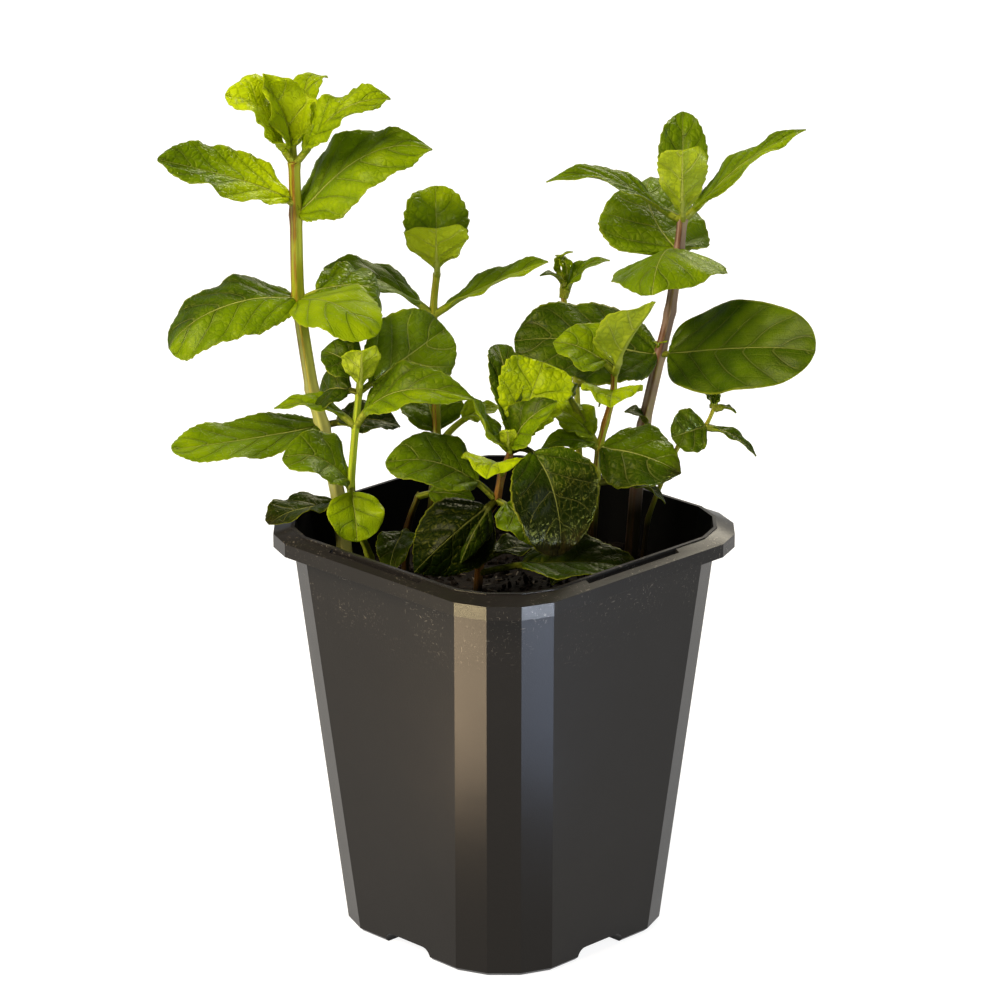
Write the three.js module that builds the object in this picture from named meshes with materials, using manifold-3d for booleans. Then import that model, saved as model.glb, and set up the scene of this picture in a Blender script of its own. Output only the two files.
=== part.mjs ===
import * as THREE from 'three';
import { mergeVertices } from 'three/addons/utils/BufferGeometryUtils.js';
import Module from 'manifold-3d';

// Pot, in millimetres. The origin is on the pot's axis, where its feet stand.
const RIM_WIDTH = 100;
const BODY_TOP_WIDTH = 92.3;
const BASE_WIDTH = 73;
const CORNER_FLAT = 9;
const WALL = 1;
const LIP_TOP = 113.3;
const BAND_TOP = 111.4;
const BAND_HEIGHT = 3.7;
const FLOOR_TOP = 4.4;
const FLOOR_THICKNESS = 1.2;
const BASE_BEVEL = 1;
const FOOT_GAP_WIDTH = 17;
const FOOT_GAP_HEIGHT = FLOOR_TOP - FLOOR_THICKNESS;
const FOOT_GAP_RADIUS = 2.6;
const SLOT_LENGTH = 34;
const SLOT_WIDTH = 1.4;
const DRAIN_RADIUS = 4;
const DRAIN_SPACING = 22;

// Soil. Stems go down to ROOT_END in plain holes.
const SOIL_TOP = 96;
const SOIL_CELLS = 12;
const LUMP_HEIGHT = 0.9;
const ROOT_END = 82;
const CLEARANCE = 0.3;

// Leaves and stems
const BLADE_THICKNESS = 0.65;
const STALK_HALF_WIDTH = 0.8;
const TOOTH_DEPTH = 0.07;
const TOOTH_LEAN = 0.62;
const STRIP_LENGTH = 3;
const RIPPLES = 2.2;
const CURL_FROM = 0.68;
const STEM_TAPER = 0.3;
const BUD_LENGTH = 1.6;
const BUD_WIDTH = 0.5;
const STEM_TURN = 35;

// A blade's outline is u^a (1 - u)^b along its length, brought to its full width
const OUTLINES = {
  ovate: [0.55, 0.85],
  round: [0.5, 0.55],
  broad: [0.38, 0.42],
  heart: [0.38, 0.8],
  long: [0.75, 0.95],
  oval: [0.6, 0.65],
  spoon: [0.9, 0.6],
  fan: [0.8, 0.28],
};

const LEAF_FORM = {
  outline: 'ovate', stalk: 4, arch: 3, sweep: 0, peak: 0.5, fold: 12, wave: 0.8, curl: 15,
};

// A leaf leaves its stem at a joint of the stem's line. It points along turn, with 0 to the right and
// 90 away, and rises above the level, both in degrees. roll tips it about its midrib. Its length with
// the stalk is reach. arch and sweep bend its midrib up and aside, most of all at peak, fold lifts its
// two halves, wave ripples its edges, and curl rolls the last of it down.
function leaf(joint, turn, rise, reach, width, roll, form = {}) {
  return { joint, turn, rise, reach, width, roll, ...LEAF_FORM, ...form };
}

// The plant's own axes: x to the right, y away and z up, as the plant is seen from its front.
const SHOOTS = [
  {
    name: 'shoot_left_tall',
    color: 0x5f8a12,
    thick: 4.5,
    stem: [[-42, 13, ROOT_END], [-44, 12, 113], [-48.5, 10, 137], [-51, 9, 147], [-54.3, 7, 172.5],
      [-54.6, 6, 196], [-54.8, 5, 210.5]],
    leaves: [
      leaf(1.08, -145, -3, 22.5, 13, -5, { arch: 1, stalk: 2, outline: 'broad' }),
      leaf(2, -166, -5, 41, 16, -25, { arch: -0.5, fold: 4, stalk: 1, outline: 'broad', curl: 0 }),
      leaf(2, 18, -5, 22, 12, 25, { arch: 2 }),
      leaf(4, -165, -15, 36.5, 22, -28, { arch: 5.5, sweep: 2, fold: -12, stalk: 1, outline: 'broad' }),
      leaf(4, -45, -5, 29.7, 20, 20, { arch: 4.5, fold: -8, stalk: 0.5, outline: 'round', curl: 10 }),
      leaf(4, 10, 4, 24.2, 20, 30, { arch: 4, fold: -10, stalk: 5, outline: 'round', curl: 110 }),
      leaf(5, -170, 25, 39.8, 18.5, -30, { arch: 4, sweep: 1, peak: 0.25, outline: 'round', curl: 0 }),
      leaf(5, -5, 29, 40.5, 22.5, 40, { arch: 5.3, sweep: -3, peak: 0.58, fold: -6, stalk: 1, wave: 1.4 }),
      leaf(6, -160, 57, 28, 18, -30, { arch: 0, outline: 'spoon', wave: 1.3, curl: 75 }),
      leaf(6, 180, 72, 25.2, 18, -50, { arch: -2, sweep: 3, fold: 38, wave: 1.3, curl: 0 }),
      leaf(6, 61, 57, 27, 11, 0, { sweep: -2, curl: 60 }),
      leaf(6, -5, 38, 31, 13, 30, { arch: 4.5, peak: 0.6, outline: 'oval', wave: 1.3, curl: 25 }),
    ],
  },
  {
    name: 'shoot_left_front',
    color: 0x86a50f,
    thick: 2.5,
    stem: [[-33, 6, ROOT_END], [-36, 4, 102], [-39.5, -3, 114], [-40.5, -6, 125], [-39, -9, 143],
      [-38, -10, 152.5], [-37.5, -11, 158]],
    leaves: [
      leaf(3, -161, 29, 21, 17.5, -35, { sweep: 2.5, stalk: 1.5, outline: 'round' }),
      leaf(3, -79, -49, 15.5, 15.5, 0, { arch: 1, stalk: 2, outline: 'round' }),
      leaf(4, -175, 14, 22, 9, -12, { arch: 4, outline: 'long', curl: 0 }),
      leaf(4, -21, 19, 35, 17, 32, { arch: 8.5, stalk: 5.5, curl: 5 }),
      leaf(5, -82, 64, 15.5, 10.5, 0, { arch: -1.5, outline: 'fan' }),
      leaf(5, 31, 27, 30, 24, 58, { arch: 2, outline: 'round' }),
      leaf(5, 150, -15, 13, 15, -40, { stalk: 2 }),
      leaf(6, 160, 25, 12, 12, -45, { stalk: 1 }),
    ],
  },
  {
    name: 'shoot_low_inner',
    color: 0x2c4a12,
    thick: 2.4,
    stem: [[-27, 8, ROOT_END], [-26, 8, 108], [-23, 7, 118]],
    leaves: [
      leaf(1, -105, -18, 19, 11, 0),
      leaf(2, -15, 3, 15.5, 9, 45),
    ],
  },
  {
    name: 'shoot_middle_back',
    color: 0x4f7f0a,
    thick: 2.7,
    stem: [[-22, 18, ROOT_END], [-19, 20, 115], [-18, 22, 127], [-19, 26, 163], [-18, 27, 174.2]],
    leaves: [
      leaf(2, 110, 40, 18, 18, 0),
      leaf(2, 10, 33, 20, 9, 20, { stalk: 10 }),
      leaf(3, 180, 25, 32, 13, -15, { stalk: 5, outline: 'round', curl: 10 }),
      leaf(3, 4, 24.5, 34, 12, 5, { arch: 1.5, outline: 'oval', curl: 0 }),
      leaf(4, 92, 58, 24.8, 18, 0, { arch: 1, outline: 'round' }),
      leaf(4, -90, 57, 19, 17.5, 0, { arch: -2, outline: 'fan' }),
    ],
  },
  {
    name: 'shoot_small_back',
    color: 0x6d8f16,
    thick: 1.9,
    stem: [[22, 30, ROOT_END], [20, 32, 132], [19.5, 32, 142], [16, 32, 166], [16, 32, 171]],
    leaves: [
      leaf(3, -154, 47, 10, 5, 0, { stalk: 2 }),
      leaf(3, 9, 40, 16, 7, 10, { stalk: 2 }),
      leaf(4, 125, 60, 7, 4, 0, { stalk: 1 }),
      leaf(4, -25, 74, 8.5, 4, 0, { stalk: 1 }),
      leaf(2, -17, -42, 9, 3, 0),
    ],
  },
  {
    name: 'shoot_middle_right',
    color: 0x6d9a1a,
    thick: 2.4,
    stem: [[22, 0, ROOT_END], [24.4, -2, 125], [25.2, -3, 135], [26.8, -3, 142], [28.7, -4, 150],
      [29, -4, 156.2]],
    leaves: [
      leaf(1, 8, -18, 20, 8, 10),
      leaf(2, -24, -8, 23.5, 21.5, 35, { arch: 2, fold: -8, stalk: 1, curl: 20 }),
      leaf(2, 150, 32, 17.5, 11, -25, { stalk: 3 }),
      leaf(2, 150, 55, 22, 8, 0, { arch: 0, stalk: 15 }),
      leaf(4, -94, 6, 14, 16.5, 0, { arch: 2, stalk: 2 }),
      leaf(5, -45, 57, 26.5, 18, -8, { arch: -1, sweep: 3, fold: 38, curl: 0 }),
      leaf(5, 180, 28, 18, 17, -35),
      leaf(0.4, -130, 5, 16, 10, 0),
      leaf(2, -170, 4, 15.5, 8.5, -28, { stalk: 2 }),
    ],
  },
  {
    name: 'shoot_right_tall',
    color: 0x557f10,
    thick: 3.8,
    stem: [[33, 12, ROOT_END], [36.3, 12, 129], [37.4, 12, 137], [41.4, 12, 156], [44, 12, 168],
      [46.1, 12, 184.5], [47, 12, 193.5]],
    leaves: [
      leaf(1.6, -138, 52, 10, 7, -30, { stalk: 2 }),
      leaf(3, -177, 8, 39, 25, -42, { arch: 2, fold: 0, stalk: 1, outline: 'broad' }),
      leaf(3, -34, 12, 48, 27, 50, { arch: 2, fold: 4, stalk: 3.5, outline: 'broad' }),
      leaf(5, 105, 30, 29.5, 30, 0, { arch: 2, sweep: -4.5, fold: -14, stalk: 1, outline: 'heart' }),
      leaf(5, -107, -7, 27, 34, 8, { arch: 5, fold: -23, stalk: 1 }),
      leaf(6, -177, 17, 37.5, 12, -8, { arch: 5, peak: 0.62, outline: 'long', curl: 5 }),
      leaf(6, 4, 37, 40, 13, 8, { arch: 2.5, peak: 0.6, fold: 4, curl: 5 }),
      leaf(6, 89, 61, 29.5, 13.5, 0, { arch: 2, outline: 'oval' }),
      leaf(6, -93, 59, 27, 13.5, 0, { arch: -3, outline: 'fan' }),
      leaf(3, -40, 62, 5, 3.2, 0, { arch: 1, stalk: 1.5 }),
      leaf(3, 160, 68, 4, 2.6, 0, { arch: 1, stalk: 1.5 }),
    ],
  },
  {
    name: 'shoot_centre',
    color: 0x3f7010,
    thick: 2.5,
    stem: [[-8, -6, ROOT_END], [-5.5, -9, 115], [-2, -11, 123], [-0.5, -12, 131],
      [1.2, -13.5, 135.5], [1.7, -14, 138]],
    leaves: [
      leaf(2, -168, 24, 32, 17, -45, { sweep: 3, stalk: 7, outline: 'round' }),
      leaf(2, -44, -26, 19, 16, 20),
      leaf(2, -152, -33, 29, 24, -50, { arch: 5, fold: -30 }),
      leaf(2, -128, -40, 20, 9, -20, { fold: -40 }),
      leaf(3, -104, 15, 17, 18, 0),
      leaf(5, -53, -46, 31.5, 25, 20, { arch: 7, sweep: -4, peak: 0.35, stalk: 5, outline: 'round' }),
      leaf(5, 39, 63, 24.5, 20, 50, { arch: 0, stalk: 2, outline: 'fan' }),
      leaf(5, 103, 62, 29.5, 9, 0, { outline: 'spoon', curl: 40 }),
      leaf(5, -160, 58, 19, 9, -30, { arch: -2, stalk: 1 }),
      leaf(5, -10, 50, 18.5, 13, 45, { stalk: 1 }),
      leaf(0.6, -10, 5, 44, 18, 20, { stalk: 12 }),
      leaf(0.7, 30, -5, 20, 10, 10),
      leaf(5, -100, 60, 8, 5, 0, { arch: -1, stalk: 0.5, outline: 'fan' }),
    ],
  },
  {
    name: 'shoot_low_right',
    color: 0x4c6f1c,
    thick: 1.5,
    stem: [[36, 6, ROOT_END], [38.5, 6, 112], [46.5, 4, 133.5], [53.2, 0, 140], [55.5, 0, 145]],
    leaves: [
      leaf(3, -158, -12, 9.8, 12.5, -62, { arch: 1, stalk: 0.4, outline: 'round', curl: 0 }),
      leaf(3, 8, -33, 16.5, 5, 20, { arch: 2, stalk: 2, outline: 'long', curl: 0 }),
      leaf(4, 150, 50, 5.5, 4, 0, { arch: 1, stalk: 1 }),
      leaf(4, -10, -8, 6, 2.5, 0, { arch: 1, stalk: 2 }),
      leaf(4, 60, 55, 4.5, 3.5, 0, { arch: 1, stalk: 1 }),
    ],
  },
];

// The plant stands with its front towards the corner between the pot's +X and -Y sides
const PLANT_TURN = Math.PI / 4;

const POT_MATERIAL = new THREE.MeshStandardMaterial({ color: 0x2e2d2c, roughness: 0.45, metalness: 0 });
const SOIL_MATERIAL = new THREE.MeshStandardMaterial({ color: 0x17120e, roughness: 0.95, metalness: 0 });

const UP = new THREE.Vector3(0, 0, 1);
const wasm = await Module();
wasm.setup();

function solid(geometry) {
  const shape = geometry.clone();
  shape.deleteAttribute('normal');
  shape.deleteAttribute('uv');
  const merged = mergeVertices(shape);
  const vertProperties = Float32Array.from(merged.attributes.position.array);
  const triVerts = Uint32Array.from(merged.index.array);
  return new wasm.Manifold(new wasm.Mesh({ numProp: 3, vertProperties, triVerts }));
}

function geometryOf(body) {
  const { vertProperties, triVerts } = body.getMesh();
  const geometry = new THREE.BufferGeometry();
  geometry.setAttribute('position', new THREE.BufferAttribute(vertProperties, 3));
  geometry.setIndex(new THREE.BufferAttribute(triVerts, 1));
  geometry.computeVertexNormals();
  return geometry;
}

function geometryFrom(points, index) {
  const geometry = new THREE.BufferGeometry().setFromPoints(points);
  geometry.setIndex(index);
  return geometry;
}

// A closed body through rings with the same number of corners, each convex and run anticlockwise
function loft(rings) {
  const sides = rings[0].length;
  const index = [];
  for (let level = 0; level < rings.length - 1; level += 1) {
    for (let i = 0; i < sides; i += 1) {
      const a = level * sides + i;
      const b = level * sides + ((i + 1) % sides);
      index.push(a, b, b + sides, a, b + sides, a + sides);
    }
  }
  const top = (rings.length - 1) * sides;
  for (let i = 1; i < sides - 1; i += 1) {
    index.push(0, i + 1, i);
    index.push(top, top + i, top + i + 1);
  }
  return solid(geometryFrom(rings.flat(), index));
}

function box(width, depth, low, high) {
  return new THREE.BoxGeometry(width, depth, high - low).translate(0, 0, (low + high) / 2);
}

// The pot's plan: a square whose corners each turn through three equal flats. inset moves every
// side inwards by that much.
function potRing(width, z, inset = 0) {
  const half = width / 2 - inset;
  const flat = CORNER_FLAT - 2 * inset * Math.tan(Math.PI / 16);
  const short = flat * Math.sin(Math.PI / 8);
  const long = flat * Math.cos(Math.PI / 8);
  const start = half - short - long - flat / Math.SQRT2;
  const corner = [[half, start], [half - short, start + long], [start + long, half - short], [start, half]];
  const ring = [];
  for (let side = 0; side < 4; side += 1) {
    for (const [x, y] of corner) {
      ring.push(new THREE.Vector3(x, y, z).applyAxisAngle(UP, (side * Math.PI) / 2));
    }
  }
  return ring;
}

function bodyWidth(z) {
  const top = BAND_TOP - BAND_HEIGHT;
  return BASE_WIDTH + ((BODY_TOP_WIDTH - BASE_WIDTH) * z) / top;
}

// The room inside the pot, its four hollow feet included. gap keeps what fills it off the plastic.
function potInside(gap, top) {
  const inset = WALL + gap;
  const low = FLOOR_TOP + gap;
  let inside = loft([potRing(bodyWidth(low), low, inset), potRing(bodyWidth(top), top, inset)]);
  const footLow = FLOOR_THICKNESS + gap;
  const footHigh = low + 1;
  const feet = loft([potRing(bodyWidth(footLow), footLow, inset), potRing(bodyWidth(footHigh), footHigh, inset)]);
  const reach = BASE_WIDTH / 2;
  const start = FOOT_GAP_WIDTH / 2 + FLOOR_THICKNESS + gap;
  for (const x of [-1, 1]) {
    for (const y of [-1, 1]) {
      const block = box(reach - start, reach - start, 0, footHigh + 1);
      block.translate((x * (reach + start)) / 2, (y * (reach + start)) / 2, 0);
      inside = inside.add(feet.intersect(solid(block)));
    }
  }
  return inside;
}

function potBody() {
  const bandLow = BAND_TOP - BAND_HEIGHT;
  const body = loft([
    potRing(BASE_WIDTH, 0, BASE_BEVEL),
    potRing(bodyWidth(BASE_BEVEL), BASE_BEVEL),
    potRing(bodyWidth(LIP_TOP), LIP_TOP),
  ]);
  const collar = loft([
    potRing(RIM_WIDTH, bandLow),
    potRing(RIM_WIDTH, BAND_TOP),
    potRing(bodyWidth(LIP_TOP), LIP_TOP - CLEARANCE),
  ]);
  const channel = loft([
    potRing(RIM_WIDTH, bandLow - 1, WALL),
    potRing(RIM_WIDTH, BAND_TOP - WALL, WALL),
    potRing(bodyWidth(LIP_TOP), LIP_TOP - CLEARANCE - WALL),
  ]);
  let pot = collar.subtract(channel).add(body).subtract(potInside(0, LIP_TOP + 1));
  const slotCentre = (bodyWidth(LIP_TOP) + SLOT_WIDTH) / 2;
  for (let side = 0; side < 4; side += 1) {
    const slot = box(SLOT_WIDTH, SLOT_LENGTH, BAND_TOP - 2 * WALL, LIP_TOP + 1);
    slot.translate(slotCentre, 0, 0).rotateZ((side * Math.PI) / 2);
    pot = pot.subtract(solid(slot));
  }
  return pot.subtract(footGap(0)).subtract(footGap(Math.PI / 2)).subtract(drains());
}

// One of the two crossing channels under the floor that leave the feet standing
function footGap(turn) {
  const half = FOOT_GAP_WIDTH / 2;
  const edge = half - FOOT_GAP_RADIUS;
  const shoulder = FOOT_GAP_HEIGHT - FOOT_GAP_RADIUS;
  const shape = new THREE.Shape();
  shape.moveTo(-half, -1);
  shape.lineTo(half, -1);
  shape.lineTo(half, shoulder);
  shape.absarc(edge, shoulder, FOOT_GAP_RADIUS, 0, Math.PI / 2, false);
  shape.lineTo(-edge, FOOT_GAP_HEIGHT);
  shape.absarc(-edge, shoulder, FOOT_GAP_RADIUS, Math.PI / 2, Math.PI, false);
  const length = BASE_WIDTH + 10;
  const gap = new THREE.ExtrudeGeometry(shape, { depth: length, bevelEnabled: false, curveSegments: 4 });
  gap.translate(0, 0, -length / 2).rotateX(Math.PI / 2).rotateZ(turn);
  return solid(gap);
}

function drains() {
  const places = [[0, 0], [DRAIN_SPACING, 0], [-DRAIN_SPACING, 0], [0, DRAIN_SPACING], [0, -DRAIN_SPACING]];
  let holes = null;
  for (const [x, y] of places) {
    const hole = new THREE.CylinderGeometry(DRAIN_RADIUS, DRAIN_RADIUS, 2 * FLOOR_TOP, 16);
    hole.rotateX(Math.PI / 2).translate(x, y, FLOOR_TOP);
    holes = holes ? holes.add(solid(hole)) : solid(hole);
  }
  return holes;
}

function soilHeight(x, y) {
  return SOIL_TOP + LUMP_HEIGHT * (Math.sin(x / 6 + 1) * Math.cos(y / 7) + 0.6 * Math.sin((x - y) / 3.5));
}

// The potting soil with its lumpy top, cut by a plain hole round the foot of every stem
function soilBody() {
  const width = RIM_WIDTH;
  const block = new THREE.BoxGeometry(width, width, SOIL_TOP, SOIL_CELLS, SOIL_CELLS, 1);
  block.translate(0, 0, SOIL_TOP / 2);
  const position = block.attributes.position;
  for (let i = 0; i < position.count; i += 1) {
    if (position.getZ(i) > 0) position.setZ(i, soilHeight(position.getX(i), position.getY(i)));
  }
  let soil = potInside(CLEARANCE, LIP_TOP).intersect(solid(block));
  for (const shoot of SHOOTS) {
    soil = soil.subtract(rootHole(shoot));
  }
  return soil;
}

function rootHole(shoot) {
  const foot = new THREE.Vector3(...shoot.stem[0]);
  const above = new THREE.Vector3(...shoot.stem[1]);
  const end = foot.clone().addScaledVector(above.clone().sub(foot).normalize(), -CLEARANCE);
  const rings = [end, above].map((place) => stemRing(place, stemSide(shoot, 0) + 2 * CLEARANCE));
  for (const point of rings.flat()) point.applyAxisAngle(UP, PLANT_TURN);
  return loft(rings);
}

function stemSide(shoot, joint) {
  const across = shoot.thick * (1 - (STEM_TAPER * joint) / (shoot.stem.length - 1));
  const turn = THREE.MathUtils.degToRad(STEM_TURN);
  return across / (Math.cos(turn) + Math.sin(turn));
}

// Mint stems are square: a level square section of the stem, turned to show two of its faces
function stemRing(centre, side) {
  const ring = [];
  for (let i = 0; i < 4; i += 1) {
    const angle = THREE.MathUtils.degToRad(STEM_TURN - 135 + 90 * i);
    const out = new THREE.Vector3(side / Math.SQRT2, 0, 0).applyAxisAngle(UP, angle);
    ring.push(out.add(centre));
  }
  return ring;
}

function stemPoint(shoot, joint) {
  const low = Math.floor(joint);
  const point = new THREE.Vector3(...shoot.stem[low]);
  if (joint > low) point.lerp(new THREE.Vector3(...shoot.stem[low + 1]), joint - low);
  return point;
}

function halfWidth(blade, u) {
  const [a, b] = OUTLINES[blade.outline];
  const widest = a / (a + b);
  const full = widest ** a * (1 - widest) ** b;
  return (0.5 * blade.width * u ** a * (1 - u) ** b) / full;
}

// A point of the leaf's middle surface, with the leaf laid along x: t runs from the stem to the tip
// and v from one edge through the midrib to the other. Beyond CURL_FROM it bends down in an arc.
function bladePoint(blade, t, v, tooth = 0) {
  const start = blade.stalk / blade.reach;
  const u = THREE.MathUtils.clamp((t - start) / (1 - start), 0, 1);
  const power = blade.peak / (1 - blade.peak);
  const bow = (t ** power * (1 - t)) / (blade.peak ** power * (1 - blade.peak));
  const half = Math.max(halfWidth(blade, u), STALK_HALF_WIDTH * (1 - 0.7 * t)) * (1 + tooth);
  const fold = THREE.MathUtils.degToRad(blade.fold);
  const phase = THREE.MathUtils.degToRad(blade.turn) + (v > 0 ? 0 : 2.1);
  const ripple = blade.wave * Math.sin(2 * Math.PI * RIPPLES * u + phase) * v * v * Math.min(1, half / 4);
  const aside = blade.sweep * bow + half * v * Math.cos(fold);
  const lift = blade.arch * bow + half * Math.abs(v) * Math.sin(fold) + ripple;
  const rolled = Math.max(0, blade.reach * (t - CURL_FROM));
  if (rolled === 0 || blade.curl === 0) return new THREE.Vector3(blade.reach * t, -aside, lift);
  const bend = THREE.MathUtils.degToRad(blade.curl) / (blade.reach * (1 - CURL_FROM));
  const angle = bend * rolled;
  const along = blade.reach * CURL_FROM + Math.sin(angle) / bend + lift * Math.sin(angle);
  return new THREE.Vector3(along, -aside, lift * Math.cos(angle) - (1 - Math.cos(angle)) / bend);
}

// The leaf's middle surface: strips on both sides of the midrib, each ending in one tooth
function bladeSheet(blade) {
  const start = blade.stalk / blade.reach;
  const strips = THREE.MathUtils.clamp(Math.round((blade.reach - blade.stalk) / STRIP_LENGTH), 4, 10);
  const points = [];
  const index = [];
  const add = (t, v, tooth) => points.push(bladePoint(blade, t, v, tooth)) - 1;
  let rib = add(0, 0);
  let edges = [-1, 1].map((v) => add(0, v));
  for (let strip = 0; strip <= strips; strip += 1) {
    const t = start + ((1 - start) * strip) / strips;
    const nextRib = add(t, 0);
    const nextEdges = [-1, 1].map((v) => add(t, v));
    for (const k of [0, 1]) {
      const faces = [];
      if (strip === 0) {
        faces.push([rib, edges[k], nextEdges[k]], [rib, nextEdges[k], nextRib]);
      } else {
        const tip = add(t - ((1 - TOOTH_LEAN) * (1 - start)) / strips, 2 * k - 1, TOOTH_DEPTH);
        faces.push([rib, edges[k], tip], [rib, tip, nextRib], [nextRib, tip, nextEdges[k]]);
      }
      for (const [a, b, c] of faces) index.push(...(k === 0 ? [a, c, b] : [a, b, c]));
    }
    rib = nextRib;
    edges = nextEdges;
  }
  return geometryFrom(points, index);
}

// A sheet given thickness: split alike on both faces, with a wall along its open edges
function thicken(sheet, thickness) {
  sheet.computeVertexNormals();
  const { position, normal } = sheet.attributes;
  const count = position.count;
  const faces = Array.from(sheet.index.array);
  const points = [];
  for (const way of [0.5, -0.5]) {
    for (let i = 0; i < count; i += 1) {
      const offset = new THREE.Vector3().fromBufferAttribute(normal, i).multiplyScalar(way * thickness);
      points.push(new THREE.Vector3().fromBufferAttribute(position, i).add(offset));
    }
  }
  const index = [...faces];
  const open = new Set();
  for (let i = 0; i < faces.length; i += 3) {
    const [a, b, c] = faces.slice(i, i + 3);
    index.push(count + a, count + c, count + b);
    for (const [p, q] of [[a, b], [b, c], [c, a]]) {
      if (!open.delete(`${q},${p}`)) open.add(`${p},${q}`);
    }
  }
  for (const edge of open) {
    const [p, q] = edge.split(',').map(Number);
    index.push(p, count + p, count + q, p, count + q, q);
  }
  return geometryFrom(points, index);
}

function leafBody(shoot, blade) {
  const place = stemPoint(shoot, blade.joint);
  const [turn, rise, roll] = [blade.turn, blade.rise, blade.roll].map(THREE.MathUtils.degToRad);
  const facing = new THREE.Quaternion().setFromEuler(new THREE.Euler(roll, -rise, turn, 'ZYX'));
  const pose = new THREE.Matrix4().compose(place, facing, new THREE.Vector3(1, 1, 1));
  return solid(thicken(bladeSheet(blade), BLADE_THICKNESS).applyMatrix4(pose));
}

// The square stem with the small bud between its last pair of leaves, and the leaves joined to it
function shootBody(shoot) {
  const rings = shoot.stem.map((place, i) => stemRing(new THREE.Vector3(...place), stemSide(shoot, i)));
  const tip = new THREE.Vector3(...shoot.stem.at(-1)).addScaledVector(UP, BUD_LENGTH);
  rings.push(stemRing(tip, BUD_WIDTH * stemSide(shoot, shoot.stem.length - 1)));
  let body = loft(rings);
  for (const blade of shoot.leaves) {
    body = body.add(leafBody(shoot, blade));
  }
  return body;
}

function mesh(name, body, material) {
  const part = new THREE.Mesh(geometryOf(body), material);
  part.name = name;
  return part;
}

const pottedMint = new THREE.Group();
pottedMint.add(mesh('pot', potBody(), POT_MATERIAL));
pottedMint.add(mesh('soil', soilBody(), SOIL_MATERIAL));

const plant = new THREE.Group();
plant.rotation.z = PLANT_TURN;
for (const shoot of SHOOTS) {
  const material = new THREE.MeshStandardMaterial({ color: shoot.color, roughness: 0.45, metalness: 0 });
  plant.add(mesh(shoot.name, shootBody(shoot), material));
}
pottedMint.add(plant);

export default pottedMint;
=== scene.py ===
import math

import bmesh
import bpy
import numpy as np
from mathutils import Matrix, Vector


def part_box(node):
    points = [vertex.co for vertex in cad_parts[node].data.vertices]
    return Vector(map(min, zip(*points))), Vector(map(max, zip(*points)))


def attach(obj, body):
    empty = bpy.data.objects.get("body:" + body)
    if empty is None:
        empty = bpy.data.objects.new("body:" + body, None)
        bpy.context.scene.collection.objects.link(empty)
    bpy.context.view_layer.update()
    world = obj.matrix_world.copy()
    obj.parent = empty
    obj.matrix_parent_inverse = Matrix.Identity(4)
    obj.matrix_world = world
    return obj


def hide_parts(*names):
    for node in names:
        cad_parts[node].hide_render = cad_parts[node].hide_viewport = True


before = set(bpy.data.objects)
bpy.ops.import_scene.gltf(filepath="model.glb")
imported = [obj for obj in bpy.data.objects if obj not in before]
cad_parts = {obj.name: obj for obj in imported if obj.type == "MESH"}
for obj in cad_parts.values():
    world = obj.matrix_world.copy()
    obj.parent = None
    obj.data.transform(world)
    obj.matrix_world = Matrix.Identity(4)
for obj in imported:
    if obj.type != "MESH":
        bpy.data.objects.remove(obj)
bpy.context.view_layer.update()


# Camera. It stands 1.2 m in front of the pot's near corner and half a metre up, and looks down on the
# plant through a long lens. The plant's front faces out between the +X and -Y sides of the pot.
MM = 0.001
CAMERA_DISTANCE = 1232.4 * MM
CAMERA_HEIGHT = 538.9 * MM
CAMERA_PITCH = math.radians(18.8)
CAMERA_PAN = math.radians(0.05)
CAMERA_LENS_MM = 176.2
SENSOR_WIDTH_MM = 36
CAMERA_REACH = 20.0
FRONT_TURN = math.radians(45)

camera = bpy.data.objects.new("camera", bpy.data.cameras.new("camera"))
bpy.context.scene.collection.objects.link(camera)
camera.data.lens = CAMERA_LENS_MM
camera.data.sensor_width = SENSOR_WIDTH_MM
camera.data.clip_end = CAMERA_REACH
camera.location = (
    CAMERA_DISTANCE * math.sin(FRONT_TURN),
    -CAMERA_DISTANCE * math.cos(FRONT_TURN),
    CAMERA_HEIGHT,
)
camera.rotation_euler = (math.pi / 2 - CAMERA_PITCH, 0, FRONT_TURN + CAMERA_PAN)
bpy.context.scene.camera = camera


# Floor and light. A plain white floor runs back to a bright backdrop, in a room that is otherwise
# dim. A warm soft lamp stands on the left, a cooler one on the right and one behind. Cards laid in
# front on both sides, seen only as reflections, put the sheen on the plastic.
FLOOR_WHITE = "#8c8c8c"
FLOOR_GLOW = 0.9
FLOOR_HALF = 6.0
CARD_RAISED = 3 * MM
BACKDROP = 0.5
ROOM = 0.13
LAMP_TARGET = 130 * MM
LAMPS = [
    # name, turn from the front, height, distance, size, watts, colour
    ("lamp_left", -52, 42, 1.2, 0.8, 30, "#ffefd6"),
    ("lamp_right", 62, 30, 1.3, 0.5, 4, "#dfe9ff"),
    ("lamp_back", 160, 36, 1.3, 0.6, 11, "#fff6e0"),
]
CARDS = [
    # name, turn from the front, nearest and farthest edge, width, watts, colour
    ("card_left", -45, 0.12, 0.32, 0.09, 1.3, "#ffe0b8"),
    ("card_left_far", -45, 0.33, 0.42, 0.26, 7.4, "#ffe8b0"),
    ("card_right", 45, 0.12, 0.32, 0.09, 0.46, "#c6daff"),
    ("card_right_far", 45, 0.33, 0.42, 0.26, 8.6, "#e0ecff"),
]


def linear(colour):
    """A colour written as sRGB hex, as the linear red, green, blue and alpha that a shader takes."""
    parts = [int(colour[i:i + 2], 16) / 255 for i in (1, 3, 5)]
    return [p / 12.92 if p <= 0.04045 else ((p + 0.055) / 1.055) ** 2.4 for p in parts] + [1]


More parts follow.
